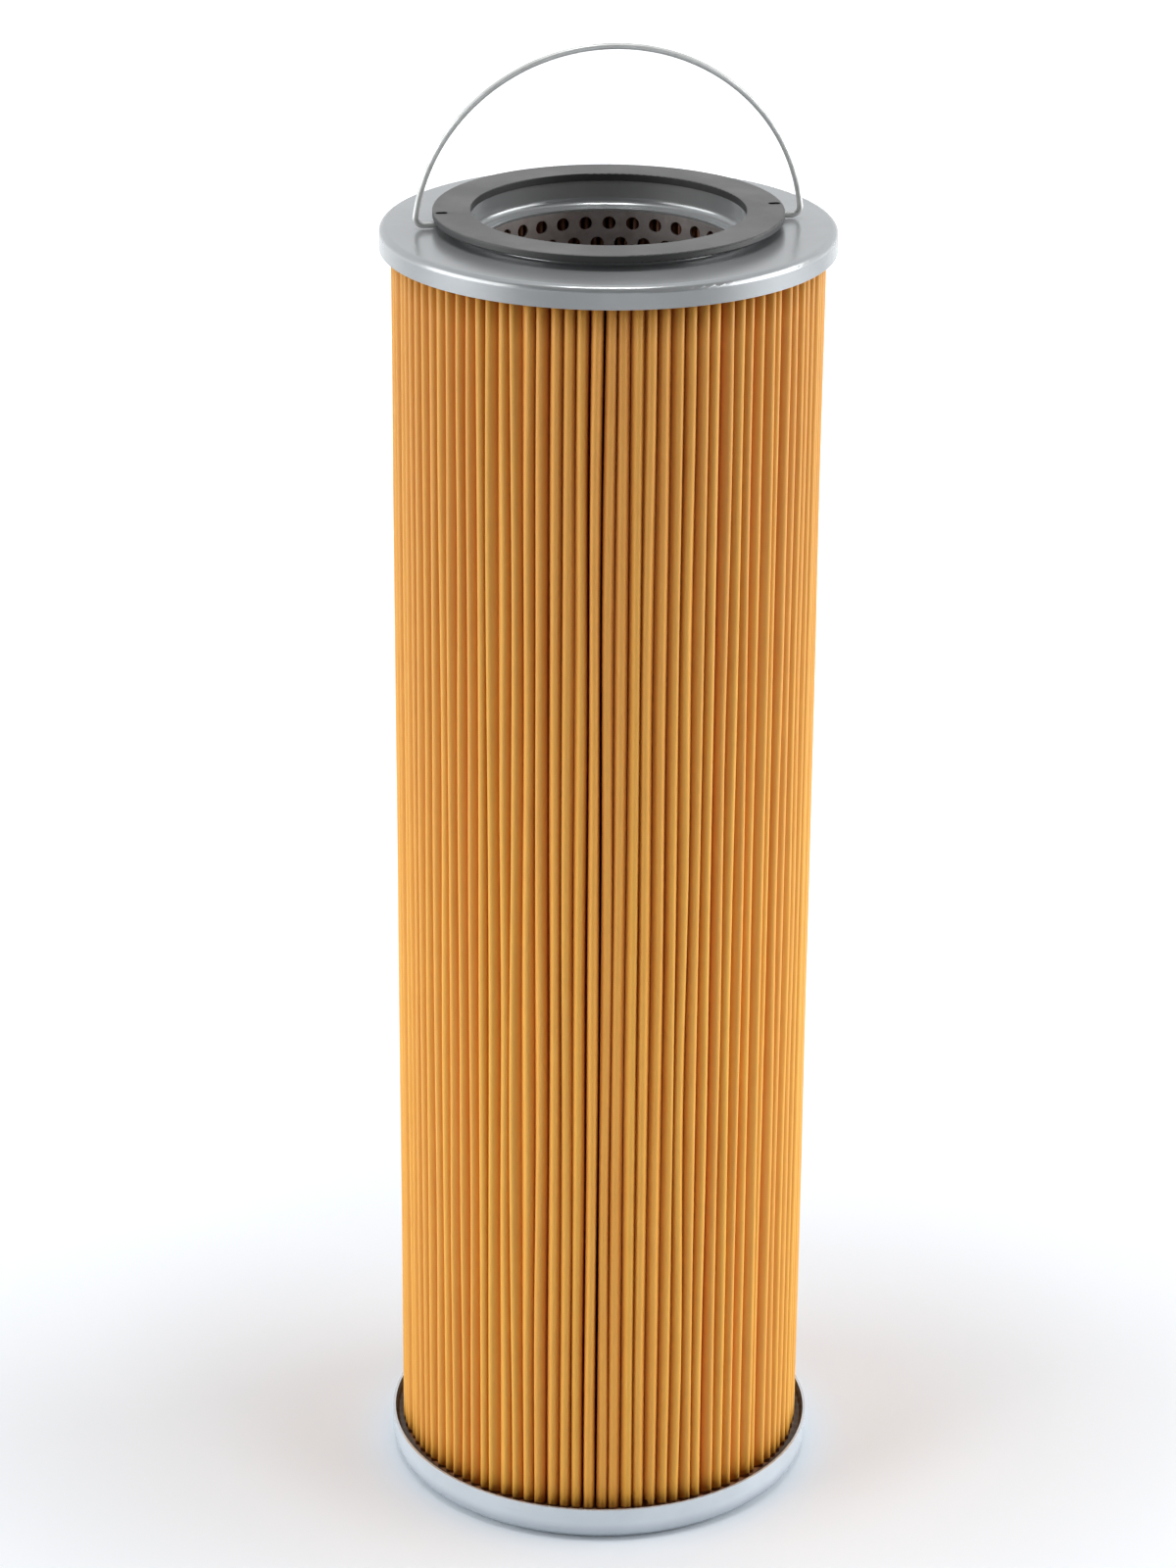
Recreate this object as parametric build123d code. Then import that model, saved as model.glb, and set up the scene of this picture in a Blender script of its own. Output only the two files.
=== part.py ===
from build123d import *
import math
import os

# Pleated oil filter element with a closed bottom, an open top and a wire lifting bail.
# All lengths are millimetres and all angles are degrees.
# The axis of the element is +Z and it stands on Z = 0. The bail swings about a line along X.

# --- Whole element -----------------------------------------------------------------------
FLANGE_HEIGHT = 454.0  # standing face to the top of the upper flange
CAP_SHEET = 0.8  # steel sheet of both stamped end caps
SEAT_GAP = 0.2  # radial gap between pieces that are glued or slipped together

# --- Pleated paper -----------------------------------------------------------------------
PACK_DIAMETER = 143.0  # over the outer folds
PLEAT_COUNT = 100
PAPER = 0.6  # paper with its resin
OUTER_FOLD_RADIUS = 1.05  # middle of the paper, at the outer folds
INNER_FOLD_RADIUS = 0.55  # middle of the paper, at the inner folds
OUTER_FLAT_COUNT = 4  # flats that stand for the curve of one fold
INNER_FLAT_COUNT = 3
TIGHT_FLAT_COUNT = 2  # the same on the hollow side of an outer fold

# --- Core tube ---------------------------------------------------------------------------
CORE_BORE = 83.2
CORE_SHEET = 0.8
CORE_HOLE = 8.0  # diameter of one perforation
CORE_HOLE_COLUMNS = 12
CORE_HOLE_PITCH = 38.0  # between two rows of one column
CORE_PLAIN_END = 9.0  # without holes, at each end
CORE_TO_PAPER = 0.4  # slip fit of the pack over the tube

# --- Upper end cap -----------------------------------------------------------------------
TOP_CAP_DIAMETER = 150.0
TOP_SKIRT = 7.4  # flange top to the lower edge of the skirt
TOP_CORNER = 2.2  # outside radius between flange and skirt
NECK_DIAMETER = 101.0  # over the hollow ring that carries the gasket
NECK_BORE = 92.4
NECK_HEIGHT = 3.8  # flange top to the land of the neck
NECK_CORNER = 1.0  # outside radius of the land's two edges
NECK_ROOT = 0.5  # radius in the corner between neck and flange
SHOULDER_DEPTH = 6.0  # flange top to the shoulder inside the throat
SHOULDER_CORNER = 2.6  # radius in the corner between throat and shoulder
SHOULDER_REACH = 4.7  # from the throat's wall inwards

# --- Gasket ------------------------------------------------------------------------------
GASKET_DIAMETER = 115.0
GASKET_BORE = 90.0
GASKET_LIFT = 2.6  # flange top to the underside of the gasket
GASKET_THICKNESS = 2.6
GASKET_EDGE = 0.6  # radius of its outer edges
GASKET_GRIP = 0.1  # clearance of the groove on each side of the neck
POCKET_LENGTH = 4.0  # moulded pocket above each bail foot, measured along X
POCKET_WIDTH = 2.4
POCKET_DEPTH = 1.2
POCKET_EDGE = 0.8  # from the pocket to the outer edge of the gasket

# --- Bail --------------------------------------------------------------------------------
BAIL_WIRE = 2.0
BAIL_HALF_SPAN = 63.5  # middle of the wire, at the height of the feet
BAIL_RISE = 59.0  # feet to the crown, middle of the wire
BAIL_FOOT_BEND = 2.6  # radius of the bend from arch to foot
BAIL_CLEARANCE = 0.3  # between a foot and the flange
BAIL_HOLE_CLEARANCE = 0.2  # around a foot in its hole
BAIL_REST_LEAN = 6.0  # towards -Y, where the bail stands by itself
BAIL_TAIL = 0.5  # from a foot's end to the throat's wall

# --- Lower end cap -----------------------------------------------------------------------
BOTTOM_CAP_DIAMETER = 150.0
BOTTOM_RIM = 12.5  # height of the rim above the standing face
BOTTOM_CORNER = 5.0  # outside radius between floor and rim
PANEL_RISE = 3.0  # stamped panel that centres the core tube
PANEL_BEND = 0.6  # inside radius of the panel's two bends

# --- Adhesive ----------------------------------------------------------------------------
BOTTOM_POTTING = 8.6  # thickness of the adhesive in the lower cap
PACK_TO_SHOULDER = 0.3  # between the upper pleat ends and the shoulder above them

# --- Values that follow from the ones above ----------------------------------------------
core_outer = CORE_BORE / 2 + CORE_SHEET
pack_outer = PACK_DIAMETER / 2
pack_inner = core_outer + CORE_TO_PAPER
flange_underside = FLANGE_HEIGHT - CAP_SHEET
neck_outer = NECK_DIAMETER / 2
throat = NECK_BORE / 2
land_height = FLANGE_HEIGHT + NECK_HEIGHT
shoulder_height = FLANGE_HEIGHT - SHOULDER_DEPTH
shoulder_inner = throat - SHOULDER_REACH
core_top = shoulder_height - CAP_SHEET
media_bottom = CAP_SHEET + BOTTOM_POTTING
media_top = core_top - PACK_TO_SHOULDER
gasket_bottom = FLANGE_HEIGHT + GASKET_LIFT
gasket_top = gasket_bottom + GASKET_THICKNESS
foot_height = FLANGE_HEIGHT + BAIL_CLEARANCE + BAIL_WIRE / 2


def turned(corners, radii):
    """One solid of revolution from a closed half section, with a radius on each corner (0 keeps it sharp)."""
    section = Polyline(*corners, close=True)
    face = make_face(Plane.XZ * section)
    for (x, z), radius in zip(corners, radii):
        if radius:
            corner = face.vertices().sort_by_distance((x, 0, z))[0]
            face = fillet(corner, radius)
    return revolve(face, Axis.Z)


def ring(inner, outer, low, high):
    """Plain ring between two radii and two heights."""
    return turned([(inner, low), (outer, low), (outer, high), (inner, high)], [0, 0, 0, 0])


def top_end_cap():
    """Skirt, flat flange, hollow neck for the gasket, and a throat that ends in a shoulder over the core tube."""
    outer = TOP_CAP_DIAMETER / 2
    skirt_edge = FLANGE_HEIGHT - TOP_SKIRT
    corners = [
        (outer, skirt_edge),
        (outer, FLANGE_HEIGHT),
        (neck_outer, FLANGE_HEIGHT),
        (neck_outer, land_height),
        (throat, land_height),
        (throat, shoulder_height),
        (shoulder_inner, shoulder_height),
        (shoulder_inner, core_top),
        (throat + CAP_SHEET, core_top),
        (throat + CAP_SHEET, land_height - CAP_SHEET),
        (neck_outer - CAP_SHEET, land_height - CAP_SHEET),
        (neck_outer - CAP_SHEET, flange_underside),
        (outer - CAP_SHEET, flange_underside),
        (outer - CAP_SHEET, skirt_edge),
    ]
    radii = [
        0,
        TOP_CORNER,
        NECK_ROOT,
        NECK_CORNER,
        NECK_CORNER,
        SHOULDER_CORNER,
        0,
        0,
        SHOULDER_CORNER + CAP_SHEET,
        0,
        0,
        NECK_ROOT + CAP_SHEET,
        TOP_CORNER - CAP_SHEET,
        0,
    ]
    cap = turned(corners, radii)
    hole_radius = BAIL_WIRE / 2 + BAIL_HOLE_CLEARANCE
    punch_length = 2 * CAP_SHEET + 2 * NECK_ROOT
    for side in (-1, 1):
        middle = side * (neck_outer - CAP_SHEET / 2)
        punch = Cylinder(hole_radius, punch_length, rotation=(0, 90, 0))
        cap -= Pos(middle, 0, foot_height) * punch
    return cap


def gasket():
    """Rubber ring whose underside grips the neck, with one moulded pocket above each bail foot."""
    outer = GASKET_DIAMETER / 2
    bore = GASKET_BORE / 2
    corners = [
        (bore, gasket_bottom),
        (bore, gasket_top),
        (outer, gasket_top),
        (outer, gasket_bottom),
        (neck_outer + GASKET_GRIP, gasket_bottom),
        (neck_outer + GASKET_GRIP, land_height),
        (throat - GASKET_GRIP, land_height),
        (throat - GASKET_GRIP, gasket_bottom),
    ]
    seal = turned(corners, [0, GASKET_EDGE / 2, GASKET_EDGE, GASKET_EDGE, 0, 0, 0, 0])
    for side in (-1, 1):
        middle = side * (outer - POCKET_EDGE - POCKET_LENGTH / 2)
        pocket = extrude(SlotOverall(POCKET_LENGTH, POCKET_WIDTH), POCKET_DEPTH)
        seal -= Pos(middle, 0, gasket_top - POCKET_DEPTH) * pocket
    return seal


def bent_wire(centre_x, centre_z, radius, start, stop):
    """Wire bent about a centre in the XZ plane, from one polar angle to another (0 is +X, 90 is +Z)."""
    axis = Axis((centre_x, 0, centre_z), (0, -1, 0))
    section = Pos(centre_x + radius, 0, centre_z) * Circle(BAIL_WIRE / 2)
    return revolve(section.rotate(axis, start), axis, stop - start)


def straight_wire(start_x, stop_x):
    """Wire along X at the height of the feet."""
    section = Plane(origin=(start_x, 0, 0), z_dir=(1, 0, 0)) * Circle(BAIL_WIRE / 2)
    return extrude(section, stop_x - start_x)


def bail_handle():
    """Round wire: two feet that point inwards through the neck, and an arch that is a little under half a circle."""
    arch_radius = (BAIL_HALF_SPAN**2 + BAIL_RISE**2) / (2 * BAIL_RISE)
    arch_centre = BAIL_RISE - arch_radius
    bend_height = BAIL_FOOT_BEND - arch_centre
    bend_centre = math.sqrt((arch_radius - BAIL_FOOT_BEND) ** 2 - bend_height**2)
    join = math.degrees(math.atan2(bend_height, bend_centre))
    foot_end = throat + CAP_SHEET + BAIL_TAIL
    pieces = [
        straight_wire(-bend_centre, -foot_end),
        bent_wire(-bend_centre, BAIL_FOOT_BEND, BAIL_FOOT_BEND, 180 - join, 270),
        bent_wire(0, arch_centre, arch_radius, join, 180 - join),
        bent_wire(bend_centre, BAIL_FOOT_BEND, BAIL_FOOT_BEND, -90, join),
        straight_wire(foot_end, bend_centre),
    ]
    handle = pieces[0].fuse(*pieces[1:])
    return Pos(0, 0, foot_height) * Rot(BAIL_REST_LEAN, 0, 0) * handle


def fold_arc(centre_distance, centre_angle, radius, facing, half_sweep, flats):
    """Points on one fold: the flats of an arc about a centre, turned to face outwards (0) or inwards (180)."""
    centre = Vector(centre_distance, 0).rotate(Axis.Z, centre_angle)
    step = 2 * half_sweep / flats
    angles = [centre_angle + facing - half_sweep + step * k for k in range(flats + 1)]
    return [centre + Vector(radius, 0).rotate(Axis.Z, angle) for angle in angles]


def pleat_outline(side, outer_flats, inner_flats):
    """Closed outline of one face of the paper: side 1 is the face towards the outside, -1 the face towards the core."""
    offset = side * PAPER / 2
    outer_centre = pack_outer - OUTER_FOLD_RADIUS - PAPER / 2
    inner_centre = pack_inner + INNER_FOLD_RADIUS + PAPER / 2
    half_pitch = 180 / PLEAT_COUNT
    flank = Vector(inner_centre, 0).rotate(Axis.Z, half_pitch) - Vector(outer_centre, 0)
    lean = math.degrees(math.acos((OUTER_FOLD_RADIUS + INNER_FOLD_RADIUS) / flank.length))
    half_sweep = math.degrees(math.atan2(flank.Y, flank.X)) - lean
    inner_sweep = half_sweep - half_pitch
    points = []
    for k in range(PLEAT_COUNT):
        angle = 2 * half_pitch * k
        points += fold_arc(
            outer_centre, angle, OUTER_FOLD_RADIUS + offset, 0, half_sweep, outer_flats
        )
        hollow = fold_arc(
            inner_centre, angle + half_pitch, INNER_FOLD_RADIUS - offset, 180, inner_sweep, inner_flats
        )
        points += reversed(hollow)
    return Wire.make_polygon(points, close=True)


def pleated_media():
    """One sheet of paper folded into a star round the core tube, standing between the two layers of adhesive."""
    outside = pleat_outline(1, OUTER_FLAT_COUNT, 1)
    inside = pleat_outline(-1, TIGHT_FLAT_COUNT, INNER_FLAT_COUNT)
    section = Pos(0, 0, media_bottom) * Face(outside, [inside])
    return extrude(section, media_top - media_bottom)


def core_tube():
    """Perforated steel tube that keeps the pack from collapsing, with staggered holes and plain ends."""
    tube = ring(CORE_BORE / 2, core_outer, CAP_SHEET, core_top)
    first = CAP_SHEET + CORE_PLAIN_END + CORE_HOLE / 2
    last = core_top - CORE_PLAIN_END - CORE_HOLE / 2
    rows = int((last - first) / (CORE_HOLE_PITCH / 2)) + 1
    row_step = (last - first) / (rows - 1)
    column_step = 360 / CORE_HOLE_COLUMNS
    punch = extrude(Plane.YZ.offset(CORE_BORE / 2 - CORE_SHEET) * Circle(CORE_HOLE / 2), 3 * CORE_SHEET)
    holes = []
    for row in range(rows):
        stagger = column_step / 2 * (row % 2)
        for column in range(CORE_HOLE_COLUMNS):
            turn = Rot(0, 0, column * column_step + stagger)
            holes.append(turn * Pos(0, 0, first + row * row_step) * punch)
    return tube - holes


def bottom_end_cap():
    """Closed dish with a rounded lower edge and a raised panel that centres the core tube."""
    outer = BOTTOM_CAP_DIAMETER / 2
    panel = CORE_BORE / 2 - SEAT_GAP - PANEL_BEND
    corners = [
        (0, PANEL_RISE),
        (panel - CAP_SHEET, PANEL_RISE),
        (panel - CAP_SHEET, 0),
        (outer, 0),
        (outer, BOTTOM_RIM),
        (outer - CAP_SHEET, BOTTOM_RIM),
        (outer - CAP_SHEET, CAP_SHEET),
        (panel, CAP_SHEET),
        (panel, PANEL_RISE + CAP_SHEET),
        (0, PANEL_RISE + CAP_SHEET),
    ]
    radii = [
        0,
        PANEL_BEND,
        PANEL_BEND + CAP_SHEET,
        BOTTOM_CORNER,
        0,
        0,
        BOTTOM_CORNER - CAP_SHEET,
        PANEL_BEND,
        PANEL_BEND + CAP_SHEET,
        0,
    ]
    return turned(corners, radii)


def top_potting():
    """Adhesive ring that bonds the upper ends of the pleats to the flange."""
    inner = throat + CAP_SHEET + SEAT_GAP
    outer = TOP_CAP_DIAMETER / 2 - CAP_SHEET - SEAT_GAP
    corners = [
        (inner, media_top),
        (outer, media_top),
        (outer, flange_underside),
        (inner, flange_underside),
    ]
    return turned(corners, [0, 0, TOP_CORNER - CAP_SHEET, 0])


def bottom_potting():
    """Adhesive that fills the lower cap round the core tube and bonds the lower ends of the pleats."""
    inner = core_outer + SEAT_GAP
    outer = BOTTOM_CAP_DIAMETER / 2 - CAP_SHEET - SEAT_GAP
    corners = [
        (inner, CAP_SHEET),
        (outer, CAP_SHEET),
        (outer, media_bottom),
        (inner, media_bottom),
    ]
    return turned(corners, [0, BOTTOM_CORNER - CAP_SHEET, 0, 0])


NODES = {
    "bottom_end_cap": bottom_end_cap,
    "bottom_potting": bottom_potting,
    "core_tube": core_tube,
    "pleated_media": pleated_media,
    "top_potting": top_potting,
    "top_end_cap": top_end_cap,
    "gasket": gasket,
    "bail_handle": bail_handle,
}

os.makedirs("parts", exist_ok=True)
for name, make in NODES.items():
    solid = make()
    solid.label = name
    export_step(solid, f"parts/{name}.step")
    print(name, "volume", round(solid.volume), "mm3")
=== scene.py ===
# %% [markdown]
# # A pleated oil filter element, dressed in Blender
#
# The element is a star of resin-treated paper round a perforated steel tube. Two stamped steel
# caps close its ends, a rubber gasket seals the open one, and a wire bail lifts it out of its
# housing. The solids come from a CAD model that is already packed, so they are loaded as a fixed
# frame. This lesson gives them their finishes, and rebuilds the pieces whose look depends on fine
# shape: the paper, the core tube and the adhesive at the foot.

# %% Load the frame
import math
import random

import bpy
from mathutils import Matrix, Vector


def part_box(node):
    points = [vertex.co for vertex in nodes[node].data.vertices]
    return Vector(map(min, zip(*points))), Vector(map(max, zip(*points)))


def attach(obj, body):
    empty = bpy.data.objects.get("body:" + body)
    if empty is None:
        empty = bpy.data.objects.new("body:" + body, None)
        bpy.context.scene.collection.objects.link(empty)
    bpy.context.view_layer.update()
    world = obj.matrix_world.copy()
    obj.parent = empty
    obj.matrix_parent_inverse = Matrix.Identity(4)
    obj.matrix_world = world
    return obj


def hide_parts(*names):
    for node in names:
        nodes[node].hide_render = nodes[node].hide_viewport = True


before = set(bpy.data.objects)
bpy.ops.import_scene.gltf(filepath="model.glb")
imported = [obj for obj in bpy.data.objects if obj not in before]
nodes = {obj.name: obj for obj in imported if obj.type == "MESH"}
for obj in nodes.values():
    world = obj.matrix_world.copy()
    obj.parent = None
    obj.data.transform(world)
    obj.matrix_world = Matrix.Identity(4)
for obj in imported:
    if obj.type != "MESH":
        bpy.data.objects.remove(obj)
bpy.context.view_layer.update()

print("nodes:", ", ".join(sorted(nodes)))

# %% [markdown]
# ## Measures taken from the frame
#
# Nothing is placed by eye. Each new piece takes its radii and heights from the boxes of the CAD
# solids, so it lands where the solid was. The element stands on z = 0 and its axis is z, so the
# largest x of a round solid is its outside radius. Blender works in metres, but the sizes of such
# a part are easier to read in millimetres, so they are written as a number times MM.

# %% Measures
MM = 0.001


def outside_radius(node):
    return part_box(node)[1].x


def low(node):
    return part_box(node)[0].z


def high(node):
    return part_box(node)[1].z


pack_radius = outside_radius("pleated_media")
core_radius = outside_radius("core_tube")
adhesive_radius = outside_radius("bottom_potting")
print(
    f"pack {pack_radius / MM:.1f} mm, core {core_radius / MM:.1f} mm, "
    f"adhesive {adhesive_radius / MM:.1f} mm"
)

# %% [markdown]
# ## Writing shader maths as Python
#
# A procedural material is a small program drawn as nodes. Drawing it by hand is slow to read back,
# so one class wraps a socket: + - * on it add Math nodes, and `node` adds any other node. The
# reflected forms let `1 - mask` work. Colours go through Mix, because a Math node would turn them
# grey.

# %% The socket class
class Flow:
    """One output socket in a material's nodes."""

    def __init__(self, tree, socket=None):
        self.tree = tree
        self.socket = socket

    def node(self, kind, settings=None, inputs=None, output=0):
        """Adds a node: settings first, then the values or links of its sockets."""
        made = self.tree.nodes.new(kind)
        for name, value in (settings or {}).items():
            setattr(made, name, value)
        for name, value in (inputs or {}).items():
            if isinstance(value, Flow):
                self.tree.links.new(value.socket, made.inputs[name])
            else:
                made.inputs[name].default_value = value
        return Flow(self.tree, made.outputs[output])

    def math(self, operation, first, second):
        return self.node("ShaderNodeMath", {"operation": operation}, {0: first, 1: second})

    def __add__(self, other):
        return self.math("ADD", self, other)

    def __sub__(self, other):
        return self.math("SUBTRACT", self, other)

    def __rsub__(self, other):
        return self.math("SUBTRACT", other, self)

    def __mul__(self, other):
        return self.math("MULTIPLY", self, other)

    __radd__ = __add__
    __rmul__ = __mul__


# %% [markdown]
# ## Where a point is
#
# Most masks ask where a point of the piece lies: how high, how far from the axis, which way it
# faces. The object's own coordinates answer that in metres, because every piece of this model has
# its origin on the element's axis at the standing face. They move with the piece, so the finish
# stays on it when the bail swings.

# %% Words for places
def place(flow, stretch=(1, 1, 1)):
    """A point on the piece, in metres, with each axis stretched."""
    point = flow.node("ShaderNodeTexCoord", output="Object")
    return flow.node("ShaderNodeMapping", None, {"Vector": point, "Scale": stretch})


def part(flow, vector, axis):
    """One number of a vector: its "X", "Y" or "Z"."""
    return flow.node("ShaderNodeSeparateXYZ", None, {0: vector}, output=axis)


def length_of(flow, vector):
    return flow.node("ShaderNodeVectorMath", {"operation": "LENGTH"}, {0: vector}, output="Value")


def height_of(flow):
    """How high the point is above the standing face, in metres."""
    return part(flow, flow.node("ShaderNodeTexCoord", output="Object"), "Z")


def facing_up(flow):
    """1 on surfaces that face up, 0 on walls."""
    return part(flow, flow.node("ShaderNodeNewGeometry", output="Normal"), "Z")


def baked_value(flow, name):
    """A number that the mesh carries on its points."""
    return flow.node("ShaderNodeAttribute", {"attribute_name": name}, output="Fac")


# %% [markdown]
# ## A few words that every finish uses
#
# Real surfaces differ from place to place: in tone, in gloss, in height. Each finish below is made
# of the same few words. `cloud` is soft noise, `ramp` is a smooth step between two values, `blend`
# mixes two colours by a mask, and `relief` turns a height into a bump.

# %% Words for finishes
def cloud(flow, point, scale, detail=3.0, roughness=0.55):
    """Soft noise from 0 to 1, with about `scale` lumps to a metre."""
    return flow.node(
        "ShaderNodeTexNoise",
        None,
        {"Vector": point, "Scale": scale, "Detail": detail, "Roughness": roughness},
    )


def ramp(flow, value, start, stop):
    """0 below start and 1 above stop, smooth between them. It falls where stop is below start."""
    settings = {"interpolation_type": "SMOOTHSTEP"}
    # The sockets 0 to 4 are: value, from low, from high, to low, to high.
    inputs = {0: value, 1: start, 2: stop, 3: 0.0, 4: 1.0}
    if start > stop:
        inputs = {0: value, 1: stop, 2: start, 3: 1.0, 4: 0.0}
    return flow.node("ShaderNodeMapRange", settings, inputs)


# A Mix node has sockets for numbers, vectors and colours. These are the ones for colours.
MIX_MASK, MIX_FIRST, MIX_SECOND, MIX_RESULT = 0, 6, 7, 2


def blend(flow, mask, first, second):
    """The first colour where the mask is 0, the second where it is 1."""
    inputs = {MIX_MASK: mask, MIX_FIRST: first, MIX_SECOND: second}
    return flow.node("ShaderNodeMix", {"data_type": "RGBA"}, inputs, output=MIX_RESULT)


def relief(flow, height, strength, distance):
    """A bump from a height of 0 to 1, with the distance of its full height in metres."""
    return flow.node(
        "ShaderNodeBump", None, {"Strength": strength, "Distance": distance, "Height": height}
    )


# %% [markdown]
# ## From a recipe to a material
#
# A finish is a function that returns what it feeds to the Principled shader. Numbers that are the
# same all over are set on the shader's own sockets, and only what varies is linked.

# %% Material maker
def material(name, recipe):
    """A material whose recipe(flow) returns the values and links of the Principled shader."""
    made = bpy.data.materials.new(name)
    made.use_nodes = True
    tree = made.node_tree
    tree.nodes.clear()
    flow = Flow(tree)
    shader = flow.node("ShaderNodeBsdfPrincipled", None, recipe(flow))
    output = tree.nodes.new("ShaderNodeOutputMaterial")
    tree.links.new(shader.socket, output.inputs["Surface"])
    print("finish:", name, "with", len(tree.nodes), "nodes")
    return made


def dress(piece, finish):
    """Gives a piece one finish all over."""
    piece.data.materials.clear()
    piece.data.materials.append(finish)


# %% [markdown]
# ## Coated steel of the two caps
#
# The caps are stamped from thin sheet and carry a satin grey coating. It is smooth enough to
# mirror the wire and the gasket softly, with a slight orange peel, a few duller clouds where it
# was handled, and faint level bands on the walls where the tool drew the sheet. The bands are
# noise squeezed in height, so they change quickly upwards and slowly round the cap.
#
# The closed cap has the same coating, painted lighter and bluer: a painted light for the bright
# card that its wall mirrors. Its lower corner is painted darker, a painted shade for the shade on
# the card that the rounded corner mirrors. One recipe makes both, with a factor for each colour
# channel.

# %% Shades of the coating
PLAIN_COAT = (0.365, 0.378, 0.383)
HANDLED_COAT = (0.40, 0.413, 0.418)
DRAWN_COAT = (0.31, 0.322, 0.33)
# A painted shade on the closed cap's lower corner, darker towards the standing face.
FOOT_PAINTED_SHADE = (0.30, 0.325, 0.355, 1)
# The closed cap's coating is painted lighter and bluer: a painted light for the bright card it
# mirrors.
CLOSED_CAP_PAINTED_LIGHT = (1.72, 1.83, 1.96)
FOOT_SHADE_FROM, FOOT_SHADE_FULLY = 7.5 * MM, 3.5 * MM  # heights over the standing face


def lit(shade, light):
    """A shade as an opaque colour, with each channel times its factor."""
    return [value * more for value, more in zip(shade, light)] + [1]


# %% Cap steel
def coated_steel(flow, light=(1, 1, 1)):
    point = place(flow)
    handled = ramp(flow, cloud(flow, point, 28.0, 4.0), 0.42, 0.68)
    peel = cloud(flow, point, 420.0, 1.0)
    bands = ramp(flow, cloud(flow, place(flow, (1, 1, 14)), 60.0, 3.0), 0.62, 0.8)
    tone = blend(flow, handled, lit(PLAIN_COAT, light), lit(HANDLED_COAT, light))
    tone = blend(flow, bands * 0.3, tone, lit(DRAWN_COAT, light))
    # Painted shade: the lower corner of the closed cap is darkened.
    painted_foot_shade = ramp(flow, height_of(flow), FOOT_SHADE_FROM, FOOT_SHADE_FULLY)
    return {
        "Base Color": blend(flow, painted_foot_shade * 0.4, tone, FOOT_PAINTED_SHADE),
        "Metallic": 0.45,
        "Roughness": 0.225 + handled * 0.035,
        "IOR": 1.6,
        "Normal": relief(flow, peel, 0.012, 0.0003),
    }


# The same coating as the open cap, with painted light.
def closed_cap_steel(flow):
    return coated_steel(flow, light=CLOSED_CAP_PAINTED_LIGHT)


dress(nodes["top_end_cap"], material("open cap steel", coated_steel))
dress(nodes["bottom_end_cap"], material("closed cap steel", closed_cap_steel))

# %% [markdown]
# ## Rubber of the gasket
#
# Nitrile rubber is nearly black. Its upper face is painted grey in patches, a painted sheen for
# the bright room that it mirrors at a low angle, and the walls stay black, which a mask from the
# normal gives. Fine grain from the mould keeps the face matt.

# %% Gasket rubber
BLACK_RUBBER = (0.022, 0.022, 0.0225, 1)
GREY_PAINTED_SHEEN = (0.154, 0.152, 0.149, 1)


def gasket_rubber(flow):
    point = place(flow)
    # Painted sheen: grey on what faces up, none on the walls.
    sheen_faces = ramp(flow, facing_up(flow), 0.35, 0.95)
    patchy = ramp(flow, cloud(flow, point, 45.0, 5.0), 0.3, 0.75)
    grain = cloud(flow, point, 1500.0, 2.0)
    painted_sheen = sheen_faces * (0.55 + patchy * 0.45)
    return {
        "Base Color": blend(flow, painted_sheen, BLACK_RUBBER, GREY_PAINTED_SHEEN),
        "Roughness": 0.42 + painted_sheen * 0.16 + grain * 0.08,
        "IOR": 1.52,
        "Normal": relief(flow, grain, 0.15, 0.0003),
    }


dress(nodes["gasket"], material("gasket rubber", gasket_rubber))

# %% [markdown]
# ## Wire of the bail
#
# The bail is drawn and plated wire. The plating is bright in places and dull in others, and
# drawing leaves a fine texture. Streaks along one axis would run across the wire where it bends,
# so even noise finer than the wire is thick stands for them.

# %% Bail wire
BRIGHT_PLATING = (0.66, 0.67, 0.66, 1)
DULL_PLATING = (0.54, 0.55, 0.54, 1)


def plated_wire(flow):
    point = place(flow)
    dull = ramp(flow, cloud(flow, point, 120.0, 4.0), 0.4, 0.7)
    texture = cloud(flow, point, 2600.0, 1.0)
    return {
        "Base Color": blend(flow, dull, BRIGHT_PLATING, DULL_PLATING),
        "Metallic": 0.5,
        "Roughness": 0.40 + dull * 0.14 + texture * 0.06,
        "Normal": relief(flow, texture, 0.08, 0.0002),
    }


dress(nodes["bail_handle"], material("bail wire", plated_wire))

# %% [markdown]
# ## The paper, as shape
#
# The media is one long strip of paper folded like an accordion and closed into a ring. The CAD
# solid has a hundred equal pleats. Real ones are never equal: each crest sits a little nearer to
# one neighbour, sways over the height, and stands a little proud or shy. That is what makes the
# play of light and dark lines look alive, so the strip is built here as a mesh with both faces,
# row by row up the element. An array of one pleat would be shorter to write, but could not vary.

# %% Pleat sizes
PLEATS = 100
ROWS = 33  # levels from the foot to the top
PAPER = 0.6 * MM
CREST = 0.95 * MM  # radius of an outer fold, to the middle of the paper
VALLEY = 0.5 * MM  # the same for an inner fold
CREST_POINTS = 7
VALLEY_POINTS = 4
CREST_TURN = 64  # degrees that a fold's points reach to each side of its middle
VALLEY_TURN = 86
FLANK_DEPTHS = (2.5 * MM, 15 * MM)  # where a pleat's walls get points, below the crests
VALLEY_CLEARANCE = 0.4 * MM  # from the core tube to the paper
LEAST_HALF_GAP = 0.04 * MM

dice = random.Random(41)


def waves(amount, count, shortest, longest):
    """A few slow waves over the height, each with its own size, length and start."""
    return [
        (
            amount * dice.uniform(0.4, 1.0) / count,
            dice.uniform(shortest, longest),
            dice.uniform(0, math.tau),
        )
        for _ in range(count)
    ]


def wave_at(terms, z):
    return sum(size * math.sin(math.tau * z / length + start) for size, length, start in terms)


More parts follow.
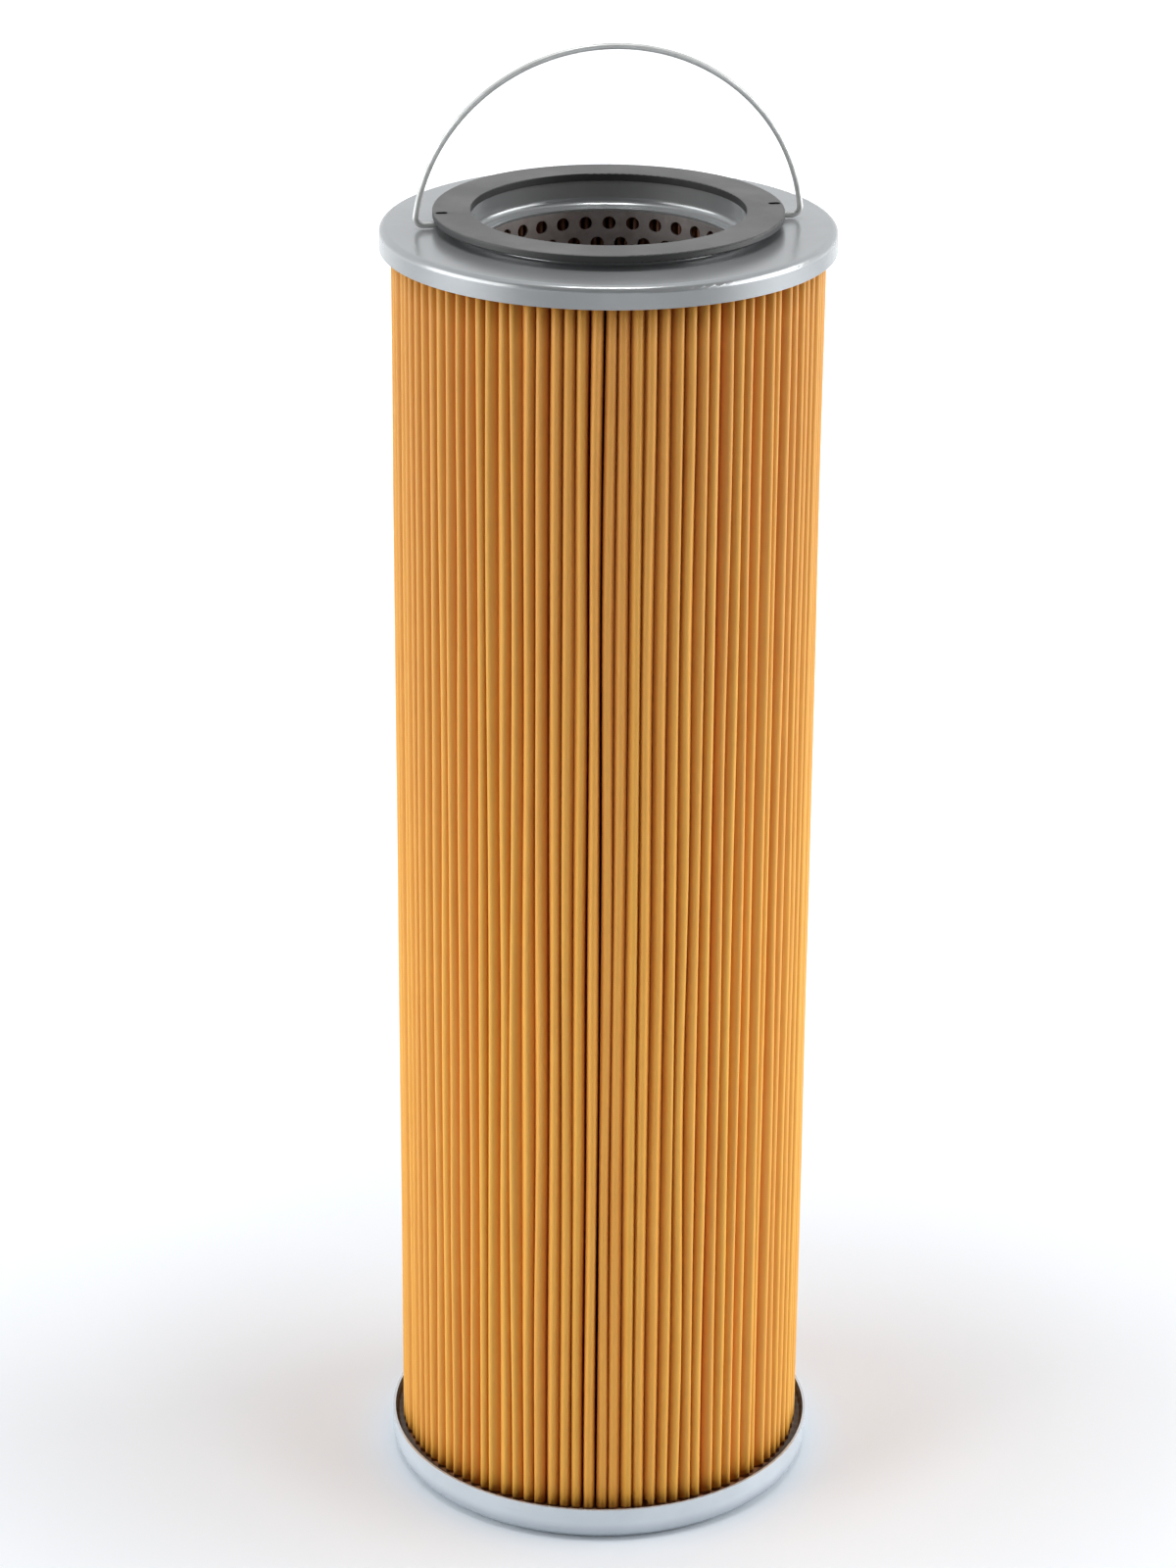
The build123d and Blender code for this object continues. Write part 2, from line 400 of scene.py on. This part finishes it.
# %% [markdown]
# Each pleat draws its own character once. `shift` and `sway` move its crest round the ring, `shy`
# and `breath` hold it back from the outside radius, `fat` widens its fold, and `gap` and `yawn`
# say how far the walls of the gap after it stand apart. Two neighbouring gaps near the front are
# set open and the ones beside them nearly closed, as where a pack was squeezed by hand, and one
# more is open on another side.

# %% One pleat's own character
HALF_GAPS = (0.06, 0.06, 0.1, 0.14, 0.2, 0.42)  # in millimetres
CHOSEN_HALF_GAPS = {70: 0.1, 71: 0.42, 72: 0.38, 73: 0.1, 46: 0.35}
THINNEST, FATTEST = 0.85, 1.2  # a crest's fold against the usual one


def pleat_character():
    """How one pleat, and the gap after it, differ from the others."""
    return {
        "shift": dice.gauss(0, 0.30 * MM),
        "sway": waves(0.75 * MM, 3, 150 * MM, 500 * MM),
        "shy": abs(dice.gauss(0, 0.30 * MM)),
        "breath": waves(0.3 * MM, 2, 150 * MM, 400 * MM),
        "fat": dice.uniform(THINNEST, FATTEST),
        "gap": dice.choice(HALF_GAPS) * MM,
        "yawn": waves(0.1 * MM, 2, 100 * MM, 350 * MM),
    }


pleats = [pleat_character() for _ in range(PLEATS)]
for number, opened in CHOSEN_HALF_GAPS.items():
    pleats[number]["gap"] = opened * MM
print(f"pleats: {len(pleats)}, of which {len(CHOSEN_HALF_GAPS)} have a gap chosen by hand")

# %% [markdown]
# Crests that sway on their own would run into each other, which paper cannot do. So wherever two
# come too close, both are pushed apart by the same amount, in several rounds, because a push may
# bring a crest too close to its other neighbour.

# %% Where the crests stand
WIDEST_CREST = 2 * CREST * FATTEST + PAPER
BETWEEN_CRESTS = 0.15 * MM
ROUNDS = 12


def crest_angles(z):
    """Where each crest stands at a height, kept at least a crest's width from its neighbours."""
    pitch = math.tau / PLEATS
    angles = [
        k * pitch + (pleat["shift"] + wave_at(pleat["sway"], z)) / pack_radius
        for k, pleat in enumerate(pleats)
    ]
    room = (WIDEST_CREST + BETWEEN_CRESTS) / pack_radius
    for _ in range(ROUNDS):
        for k in range(PLEATS):
            after = (k + 1) % PLEATS
            gap = (angles[after] - angles[k]) % math.tau
            if gap < room:
                push = (room - gap) / 2
                angles[k] -= push
                angles[after] += push
    return angles


# %% [markdown]
# Seen from above, the strip at one height is a crest, a wall down, a valley, a wall up, and so on
# round the ring. Both faces get the same number of points, a sheet's thickness apart, so that
# they can be joined row to row later.

# %% Outline of the strip at one height
def polar(distance, angle):
    return Vector((math.cos(angle), math.sin(angle))) * distance


def fold_points(centre, angle, radius, count, half_turn):
    """Points on one fold, about its own centre, half_turn degrees to each side."""
    half_turn = math.radians(half_turn)
    turns = (angle - half_turn + 2 * half_turn * i / (count - 1) for i in range(count))
    return [centre + polar(radius, turn) for turn in turns]


def gap_walls(angle, gap, even, half_gap):
    """A gap's two walls from its mouth inwards.

    A point is a radius, an angle on the outer face, and the turn to the inner face for each
    metre of the paper's thickness.
    """
    down, up = [], []
    for depth in FLANK_DEPTHS:
        radius = pack_radius - depth
        share = depth / (pack_radius - core_radius)
        middle = (angle + gap / 2) * (1 - share) + even * share
        for side, points in ((-1, down), (1, up)):
            points.append((radius, middle + side * half_gap / radius, side / radius))
    return down, up


def paper_rows(z):
    """Both faces of the strip at a height, as two equal lists of points."""
    angles = crest_angles(z)
    outer, inner = [], []

    def fold(centre, angle, outer_radius, inner_radius, count, half_turn, step=1):
        # Both faces of a fold are arcs about one centre.
        outer.extend(fold_points(centre, angle, outer_radius, count, half_turn)[::step])
        inner.extend(fold_points(centre, angle, inner_radius, count, half_turn)[::step])

    def wall(points):
        outer.extend(polar(radius, turn) for radius, turn, _ in points)
        inner.extend(polar(radius, turn + PAPER * across) for radius, turn, across in points)

    for k, pleat in enumerate(pleats):
        angle = angles[k]
        gap = (angles[(k + 1) % PLEATS] - angle) % math.tau
        crest = CREST * pleat["fat"]
        reach = pack_radius - pleat["shy"] + min(0, wave_at(pleat["breath"], z))
        centre = polar(reach - crest - PAPER / 2, angle)
        fold(centre, angle, crest + PAPER / 2, crest - PAPER / 2, CREST_POINTS, CREST_TURN)
        half_gap = max(LEAST_HALF_GAP, pleat["gap"] + wave_at(pleat["yawn"], z))
        even = (k + 0.5) * math.tau / PLEATS
        down, up = gap_walls(angle, gap, even, half_gap)
        wall(down)
        foot = polar(core_radius + VALLEY_CLEARANCE + VALLEY + PAPER / 2, even)
        # In a valley the outer face is the hollow one, and it runs the other way.
        hollow, back = VALLEY - PAPER / 2, VALLEY + PAPER / 2
        fold(foot, even + math.pi, hollow, back, VALLEY_POINTS, VALLEY_TURN, step=-1)
        wall(up[::-1])
    return outer, inner


# %% [markdown]
# ## Joining the rows
#
# The rows are joined with quads, a skin for each face of the paper, and the strip's edges are
# closed at the foot and at the top. The result is one closed mesh, with the real thickness.

# %% Faces of the strip
def paper_faces(count):
    """Quads between the rows, and the two edges of the strip, for count points to a face."""
    faces = []
    for row in range(ROWS - 1):
        here, above = row * 2 * count, (row + 1) * 2 * count
        for i in range(count):
            j = (i + 1) % count
            faces.append((here + i, here + j, above + j, above + i))
            inner, inner_above = here + count, above + count
            faces.append((inner + j, inner + i, inner_above + i, inner_above + j))
    for row, order in ((0, -1), (ROWS - 1, 1)):
        base = row * 2 * count
        for i in range(count):
            j = (i + 1) % count
            faces.append((base + i, base + j, base + count + j, base + count + i)[::order])
    return faces


def mesh_from(name, verts, faces, smooth):
    mesh = bpy.data.meshes.new(name)
    mesh.from_pydata(verts, [], faces)
    mesh.polygons.foreach_set("use_smooth", [smooth] * len(faces))
    return mesh


def paper_mesh(name, bottom, top):
    """The folded strip as one closed mesh."""
    verts = []
    for row in range(ROWS):
        z = bottom + (top - bottom) * row / (ROWS - 1)
        for face in paper_rows(z):
            verts += [(point.x, point.y, z) for point in face]
    return mesh_from(name, verts, paper_faces(len(verts) // ROWS // 2), smooth=True)


# %% The paper
def piece_from(name, mesh):
    """A new piece that moves with the element."""
    made = bpy.data.objects.new(name, mesh)
    bpy.context.scene.collection.objects.link(made)
    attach(made, "element")
    triangles = sum(len(polygon.vertices) - 2 for polygon in mesh.polygons)
    print(f"piece: {name}, {triangles} triangles")
    return made


paper = piece_from(
    "paper_pleats", paper_mesh("paper_pleats", low("pleated_media"), high("pleated_media"))
)
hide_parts("pleated_media")

# %% [markdown]
# Each point of the strip also carries two numbers for its finish: how deep it lies in a fold, from
# 0 at the crests to 1 at the core, and a tone that belongs to its own pleat.

# %% Numbers on the paper's points
def carry(mesh, name, values):
    layer = mesh.attributes.new(name, "FLOAT", "POINT")
    layer.data.foreach_set("value", values)


def paper_numbers(mesh):
    depth, tone = [], []
    tones = [dice.random() for _ in range(PLEATS)]
    span = pack_radius - core_radius
    for vertex in mesh.vertices:
        x, y, _ = vertex.co
        depth.append(min(1.0, max(0.0, (pack_radius - math.hypot(x, y)) / span)))
        turn = math.atan2(y, x) % math.tau / math.tau * PLEATS
        tone.append(tones[int(turn + 0.5) % PLEATS])
    carry(mesh, "depth", depth)
    carry(mesh, "tone", tone)
    print(f"paper: {len(depth)} points, the deepest at {max(depth):.2f} of the pleat")


paper_numbers(paper.data)

# %% [markdown]
# ## The paper, as finish
#
# Filter paper is cellulose soaked in phenolic resin and cured, which turns it amber. The crests
# are warm and each pleat has a slightly different tone. The walls of the folds are painted
# browner and what lies at the core is painted nearly black: painted shade of the deep folds.
# Fibres make faint upright streaks, and the cured resin gives a slight gloss. The pack is painted
# a little darker towards its open end, a painted shade.
#
# At the foot the wet adhesive wicked into the paper and stained it dark, and the same dark band is
# partly a painted shade for the groove along the rim. The band is kept low where it would be seen
# between two pleats, so one dark line follows the rim all round, with a few drops that climbed
# higher.

# %% Shades of the paper
AMBER, PALE_AMBER = (0.78, 0.37, 0.050, 1), (0.86, 0.45, 0.066, 1)
RUSSET = (0.74, 0.29, 0.052, 1)  # pleats that took more resin
FIBRE = (0.92, 0.56, 0.17, 1)
FOLD_PAINTED_SHADE = (0.70, 0.205, 0.042, 1)
CORE_PAINTED_SHADE = (0.06, 0.022, 0.012, 1)
OPEN_END_PAINTED_SHADE = (0.40, 0.145, 0.05, 1)
SOAKED_BROWN_AND_SHADE = (0.22, 0.085, 0.03, 1)
TOP_SHADE_FROM = 160 * MM
WICK_AND_SHADE_TOP, WICK_AND_SHADE_FULL = 11.7 * MM, 11.3 * MM
WICK_AND_SHADE_DROP = 11 * MM  # how much lower the band of stain and painted shade stands at the core than at the crests
DROP_RISE = 2 * MM


# %% Filter paper
def filter_paper(flow):
    point = place(flow)
    fibres = cloud(flow, place(flow, (1, 1, 0.06)), 1400.0, 3.0, 0.6)
    mottle = cloud(flow, point, 55.0, 5.0, 0.6)
    depth = baked_value(flow, "depth")
    height = height_of(flow)

    tone = blend(flow, mottle, AMBER, PALE_AMBER)
    tone = blend(flow, baked_value(flow, "tone") * 0.35, tone, RUSSET)
    tone = blend(flow, ramp(flow, fibres, 0.5, 0.85) * 0.25, tone, FIBRE)
    # Painted shade: the folds get browner with depth and nearly black at the core.
    tone = blend(flow, ramp(flow, depth, 0.03, 0.14), tone, FOLD_PAINTED_SHADE)
    tone = blend(flow, ramp(flow, depth, 0.7, 0.95), tone, CORE_PAINTED_SHADE)
    # Painted shade: the pack is darker towards its open end.
    painted_top_shade = ramp(flow, height, TOP_SHADE_FROM, high("pleated_media"))
    tone = blend(flow, painted_top_shade * 0.3, tone, OPEN_END_PAINTED_SHADE)

    tall_cloud = cloud(flow, place(flow, (1, 1, 0.2)), 110.0, 0.0)
    drops = ramp(flow, tall_cloud, 0.68, 0.76) * DROP_RISE
    # Partly a wicked stain, partly painted shade of the groove along the rim.
    wick_and_rim_shade = ramp(flow, height + depth * WICK_AND_SHADE_DROP - drops, WICK_AND_SHADE_TOP, WICK_AND_SHADE_FULL)
    return {
        "Base Color": blend(flow, wick_and_rim_shade * 0.9, tone, SOAKED_BROWN_AND_SHADE),
        "Roughness": 0.50 - wick_and_rim_shade * 0.2 + fibres * 0.08,
        "IOR": 1.45,
        "Normal": relief(flow, fibres + mottle, 0.22, 0.0004),
    }


dress(paper, material("filter paper", filter_paper))

# %% [markdown]
# ## The perforated core tube
#
# The tube keeps the pack from collapsing when oil flows inwards. It is rolled from sheet with
# small staggered holes. The CAD solid has fewer, larger ones, to stay light. Cutting hundreds of
# holes with booleans is slow and leaves poor faces, so the tube is laid out flat as cells, each a
# rectangle with a round hole in it, and rolled up. Each side of a cell has a point at its middle,
# so a row can start half a cell further on and still share its points with the row below.

# %% Core sizes
HOLE = 4.6 * MM
COLUMNS = 33
HOLE_SEGMENTS = 16
SHEET = 0.8 * MM
PLAIN_END = 0.8 * MM
ROW_PITCH = 0.866  # of the distance between columns, so the holes lie as in a honeycomb
cell_wide = math.tau / COLUMNS
tube_low, tube_high = low("core_tube"), high("core_tube")
row_count = round((tube_high - tube_low - 2 * PLAIN_END) / (cell_wide * core_radius * ROW_PITCH))
cell_high = (tube_high - tube_low - 2 * PLAIN_END) / row_count
print(f"core: {COLUMNS} columns by {row_count} rows of holes")

# Eight points round a cell, as shares of its width and height from its middle.
CELL_BORDER = (
    (0.5, 0), (0.5, 0.5), (0, 0.5), (-0.5, 0.5), (-0.5, 0), (-0.5, -0.5), (0, -0.5), (0.5, -0.5),
)


# %% A sheet rolled into a tube
class RolledSheet:
    """Points and faces of the tube. Face 0 of the sheet is its outside, face 1 its inside."""

    def __init__(self):
        self.verts, self.faces, self.found = [], [], {}

    def point(self, turn, z, face):
        radius = core_radius - SHEET * face
        self.verts.append((radius * math.cos(turn), radius * math.sin(turn), z))
        return len(self.verts) - 1

    def shared_point(self, turn, z, face):
        """A point of a cell's border, which its neighbours use as well."""
        # Rounded, so that the same place reached from two cells gives one point.
        steps = COLUMNS * 64
        key = (round(turn * steps / math.tau) % steps, round(z * 1e7), face)
        if key not in self.found:
            self.found[key] = self.point(turn, z, face)
        return self.found[key]

    def skin(self, corners, face):
        """A face of the sheet, turned to look away from it."""
        self.faces.append(corners if face == 0 else corners[::-1])


# %% One cell
def hole_ring(sheet, turn, z, face):
    angles = (math.tau * i / HOLE_SEGMENTS for i in range(HOLE_SEGMENTS))
    return [
        sheet.point(
            turn + HOLE / 2 * math.cos(angle) / core_radius, z + HOLE / 2 * math.sin(angle), face
        )
        for angle in angles
    ]


def add_cell(sheet, turn, z):
    """A rectangle with a round hole, on both faces of the sheet, and the hole's wall."""
    rings = []
    for face in (0, 1):
        border = [
            sheet.shared_point(turn + u * cell_wide, z + v * cell_high, face)
            for u, v in CELL_BORDER
        ]
        ring = hole_ring(sheet, turn, z, face)
        rings.append(ring)
        for k in range(8):
            a, b, c = ring[2 * k], ring[2 * k + 1], ring[(2 * k + 2) % HOLE_SEGMENTS]
            here, after = border[k], border[(k + 1) % 8]
            sheet.skin((here, b, a), face)
            sheet.skin((here, after, b), face)
            sheet.skin((after, c, b), face)
    for i in range(HOLE_SEGMENTS):
        j = (i + 1) % HOLE_SEGMENTS
        sheet.faces.append((rings[0][i], rings[0][j], rings[1][j], rings[1][i]))


# %% The plain ends
def add_plain_end(sheet, z0, z1, shift):
    """A band without holes, and the cut edge of the sheet at the tube's end.

    The shift is that of the row it joins, as a share of a cell.
    """
    for i in range(2 * COLUMNS):
        t0, t1 = (i / 2 + shift) * cell_wide, (i / 2 + 0.5 + shift) * cell_wide
        for face in (0, 1):
            corners = ((t0, z0), (t1, z0), (t1, z1), (t0, z1))
            sheet.skin(tuple(sheet.shared_point(t, z, face) for t, z in corners), face)
        end = z0 if z0 == tube_low else z1
        corners = ((t0, 0), (t0, 1), (t1, 1), (t1, 0))
        lip = tuple(sheet.shared_point(t, end, face) for t, face in corners)
        sheet.faces.append(lip if end == z0 else lip[::-1])


# %% Build the core tube
def core_mesh(name):
    sheet = RolledSheet()
    for row in range(row_count):
        z = tube_low + PLAIN_END + (row + 0.5) * cell_high
        for column in range(COLUMNS):
            add_cell(sheet, (column + 0.5 * (row % 2)) * cell_wide, z)
    add_plain_end(sheet, tube_low, tube_low + PLAIN_END, 0)
    add_plain_end(sheet, tube_high - PLAIN_END, tube_high, 0.5 * ((row_count - 1) % 2))
    return mesh_from(name, sheet.verts, sheet.faces, smooth=False)


core = piece_from("perforated_core", core_mesh("perforated_core"))
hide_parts("core_tube")

# %% [markdown]
# The sheet of the tube is bare rolled steel with a film of oil, darker and duller in patches. Its
# grain is noise drawn out along the tube.

# %% Core steel
CLEAN_STEEL = (0.60, 0.565, 0.55, 1)
OILED_STEEL = (0.38, 0.325, 0.305, 1)


def core_steel(flow):
    point = place(flow)
    stain = ramp(flow, cloud(flow, point, 70.0, 5.0), 0.35, 0.7)
    grain = cloud(flow, place(flow, (1, 1, 0.2)), 1200.0, 2.0)
    return {
        "Base Color": blend(flow, stain, CLEAN_STEEL, OILED_STEEL),
        "Metallic": 0.8,
        "Roughness": 0.38 + stain * 0.2,
        "Normal": relief(flow, grain, 0.12, 0.0003),
    }


dress(core, material("core steel", core_steel))

# %% [markdown]
# ## Adhesive in the caps
#
# The ends of the pack are set in adhesive that was poured into each cap and cured. At the top it
# is hidden above the paper. At the foot it shows in the narrow groove between the pleats and the
# rim. It is thick and dark there, and amber where the paper soaked it up.

# %% Adhesive finish
DARK_ADHESIVE, BROWN_ADHESIVE = (0.050, 0.030, 0.015, 1), (0.115, 0.072, 0.036, 1)
SOAKED_ADHESIVE = (0.36, 0.15, 0.05, 1)


def cured_adhesive(flow):
    lumps = cloud(flow, place(flow), 160.0, 4.0)
    from_axis = length_of(flow, place(flow, (1, 1, 0)))
    soaked = ramp(flow, from_axis, pack_radius + 0.3 * MM, pack_radius - 1.2 * MM)
    thick = blend(flow, lumps, DARK_ADHESIVE, BROWN_ADHESIVE)
    return {
        "Base Color": blend(flow, soaked, thick, SOAKED_ADHESIVE),
        "Roughness": 0.28 + lumps * 0.25,
        "IOR": 1.5,
        "Normal": relief(flow, lumps, 0.5, 0.001),
    }


adhesive = material("adhesive", cured_adhesive)
dress(nodes["top_potting"], adhesive)

# %% [markdown]
# The lower ring is rebuilt, because its surface is not flat: before it set, it crept up the rim,
# and it dips between the rim and the pleats. Turning a section round the axis gives the ring, and
# three waves of different length keep the crept edge from being a perfect circle.

# %% Section of the lower adhesive
CORNER = 4.2 * MM  # its outer lower edge follows the bend of the cap
CREEP = ((0.0, 1.5), (0.35, 0.8), (0.9, 0.2), (1.6, 0.0), (2.2, 0.5))  # mm from the rim, mm up
CORNER_STEPS = 6
BORE_CLEARANCE = 0.2 * MM  # from the core tube to the adhesive


def adhesive_section(base, top):
    """Radius and height of the points round the ring's section."""
    inner, outer = core_radius + BORE_CLEARANCE, adhesive_radius
    section = [(inner, base), (outer - CORNER, base)]
    for step in range(1, CORNER_STEPS + 1):
        turn = math.pi / 2 * step / CORNER_STEPS
        radius = outer - CORNER + CORNER * math.sin(turn)
        section.append((radius, base + CORNER - CORNER * math.cos(turn)))
    section += [(outer - across * MM, top + up * MM) for across, up in CREEP]
    return section + [(inner, top)]


# %% Build the lower adhesive
TURN_STEPS = 400
UNEVEN = 0.25 * MM  # how far each wave lifts the crept edge, before its own factor


def adhesive_mesh(name):
    """The section turned round the axis, with an uneven crept edge."""
    base, top = low("bottom_potting"), high("bottom_potting")
    section = adhesive_section(base, top)
    count = len(section)
    verts, faces = [], []
    for i in range(TURN_STEPS):
        turn = math.tau * i / TURN_STEPS
        lift = 0.5 * math.sin(turn * PLEATS)
        lift += 0.6 * math.sin(turn * 7 + 1) + 0.4 * math.sin(turn * 23)
        for radius, z in section:
            rise = UNEVEN * lift if z > top else 0.0
            verts.append((radius * math.cos(turn), radius * math.sin(turn), z + rise))
    for i in range(TURN_STEPS):
        here, after = i * count, (i + 1) % TURN_STEPS * count
        for k in range(count):
            n = (k + 1) % count
            faces.append((here + k, after + k, after + n, here + n))
    return mesh_from(name, verts, faces, smooth=True)


foot_adhesive = piece_from("foot_adhesive", adhesive_mesh("foot_adhesive"))
dress(foot_adhesive, adhesive)
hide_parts("bottom_potting")

# %% [markdown]
# ## Floor
#
# The element stands on pale studio card. In a real studio such a card is lit until it is white,
# and only the shade under and close round the object is left. A faint glow on the card does the
# same here with few lights: none at the foot, more from a hand's width away, most behind the
# element and at the far edges. The card in front of the element is greyer, which keeps the front
# of the pack deeper in tone than its sides.

# %% Floor
CARD, CARD_PALE = (0.775, 0.82, 0.865, 1), (0.815, 0.855, 0.895, 1)
BLACK, WHITE = (0, 0, 0, 1), (1, 1, 0.985, 1)


def card_glow(flow, point):
    """How strongly the card glows, by place. Distances are in metres."""
    behind = part(flow, point, "Y")
    aside = flow.math("ABSOLUTE", part(flow, point, "X"), 0)
    centred = 1 - ramp(flow, aside, 0.4, 0.9) * ramp(flow, behind, 1.4, 0.7)
    around = ramp(flow, length_of(flow, point), 0.13, 0.42) * 0.24 * centred
    background = ramp(flow, behind, 0.1, 1.6) * 0.40 * centred
    side_edges = ramp(flow, aside, 1.7, 2.3) * 0.5
    front_edge = ramp(flow, behind, -1.8, -3.0) * 0.35
    return around + background + (side_edges + front_edge)


def studio_card(flow):
    point = place(flow)
    behind = part(flow, point, "Y")
    greyer = ramp(flow, behind, -0.34, -0.75) * ramp(flow, behind, -2.6, -1.8)
    card = blend(flow, cloud(flow, point, 1.2, 2.0), CARD, CARD_PALE)
    return {
        "Base Color": blend(flow, greyer * 0.45, card, BLACK),
        "Roughness": 0.55 + cloud(flow, point, 900.0, 2.0) * 0.1,
        "Specular IOR Level": 0.2,
        "Emission Color": blend(flow, card_glow(flow, point), BLACK, WHITE),
        "Emission Strength": 1.0,
    }


FLOOR_REACH = 9.0  # metres to each side
corners = [(x * FLOOR_REACH, y * FLOOR_REACH, 0) for x, y in ((-1, -1), (1, -1), (1, 1), (-1, 1))]
floor_mesh = mesh_from("studio_floor", corners, [(0, 1, 2, 3)], smooth=False)
floor = bpy.data.objects.new("studio_floor", floor_mesh)
bpy.context.scene.collection.objects.link(floor)
dress(floor, material("studio card", studio_card))

# %% [markdown]
# ## Lights
#
# Two large softboxes left and right brighten the sides of the pack and leave its middle darker.
# The right one is stronger. Two narrow strips high overhead draw the thin bright lines on the
# rounded edges of the caps, and a wide weak panel lifts the flat faces. Each one is placed by its
# direction and distance from the middle of the element, so it always faces what it lights.

# %% Lights
LOOK_AT = Vector((0, 0, 0.26))  # about the middle of the element's height


def soft_light(name, azimuth, elevation, distance, width, height, watts):
    """A softbox that looks at the middle of the element, in degrees and metres.

    Azimuth 0 is in front of the element, and it grows to the right.
    """
    a, e = math.radians(azimuth), math.radians(elevation)
    away = Vector((math.sin(a) * math.cos(e), -math.cos(a) * math.cos(e), math.sin(e)))
    lamp = bpy.data.lights.new(name, "AREA")
    lamp.shape = "RECTANGLE"
    lamp.size, lamp.size_y = width, height
    lamp.energy = watts
    made = bpy.data.objects.new(name, lamp)
    made.location = LOOK_AT + away * distance
    made.rotation_euler = away.to_track_quat("Z", "Y").to_euler()
    made.visible_camera = False
    bpy.context.scene.collection.objects.link(made)
    print(f"light: {name}, {watts} W at {distance} m")


soft_light("left softbox", -82, 10, 2.4, 2.2, 1.9, 46)
soft_light("right softbox", 80, 10, 2.4, 2.2, 1.9, 62)
soft_light("left strip", -54, 82, 1.7, 0.12, 0.4, 4.5)
soft_light("right strip", 38, 82, 1.7, 0.12, 0.4, 4.5)
soft_light("top panel", 0, 88, 2.0, 2.4, 2.4, 3)

# %% [markdown]
# The room itself is the last light: bright walls beside and behind the element, which the flange
# mirrors, a slightly dimmer ceiling, and hardly any light from the camera's side.

# %% Air
def studio_air():
    """Bright white walls beside and behind the element, and a dark room on the camera's side."""
    air = bpy.data.worlds.new("studio air")
    air.use_nodes = True
    tree = air.node_tree
    tree.nodes.clear()
    flow = Flow(tree)
    direction = flow.node("ShaderNodeTexCoord", output="Generated")
    walls = 0.02 + ramp(flow, part(flow, direction, "Y"), -0.35, -0.1) * 0.93
    ceiling = ramp(flow, part(flow, direction, "Z"), 0.5, 0.8)
    inputs = {"Color": (0.965, 0.98, 1.0, 1), "Strength": walls * (1 - ceiling * 0.3)}
    background = flow.node("ShaderNodeBackground", None, inputs)
    output = tree.nodes.new("ShaderNodeOutputWorld")
    tree.links.new(background.socket, output.inputs["Surface"])
    return air


bpy.context.scene.world = studio_air()
bpy.context.scene.view_settings.view_transform = "Standard"

# %% [markdown]
# ## Camera
#
# A long lens from above the rim, so the upper end is seen as a flat ellipse and the sides draw in
# a little towards the foot.

# %% Camera
ORBIT = -8.0  # degrees round the axis; the bail's right foot is the farther one
DISTANCE = 1.3794  # metres from the axis
EYE_HEIGHT = 0.828  # metres over the card
PITCH = 22.52  # degrees that it looks down
YAW = 0.23
ROLL = 0.37
LENS = 99.77  # millimetres

lens = bpy.data.cameras.new("camera")
lens.sensor_width = 36.0
lens.lens = LENS
lens.clip_end = 50.0
camera = bpy.data.objects.new("camera", lens)
bpy.context.scene.collection.objects.link(camera)
orbit = Matrix.Rotation(math.radians(ORBIT), 4, "Z")
camera.matrix_world = (
    Matrix.Translation(orbit @ Vector((0, -DISTANCE, EYE_HEIGHT)))
    @ Matrix.Rotation(math.radians(ORBIT + YAW), 4, "Z")
    @ Matrix.Rotation(math.radians(90 - PITCH), 4, "X")
    @ Matrix.Rotation(math.radians(ROLL), 4, "Z")
)
bpy.context.scene.camera = camera
print(f"camera: {LENS} mm lens, {DISTANCE} m from the axis and {EYE_HEIGHT} m up")
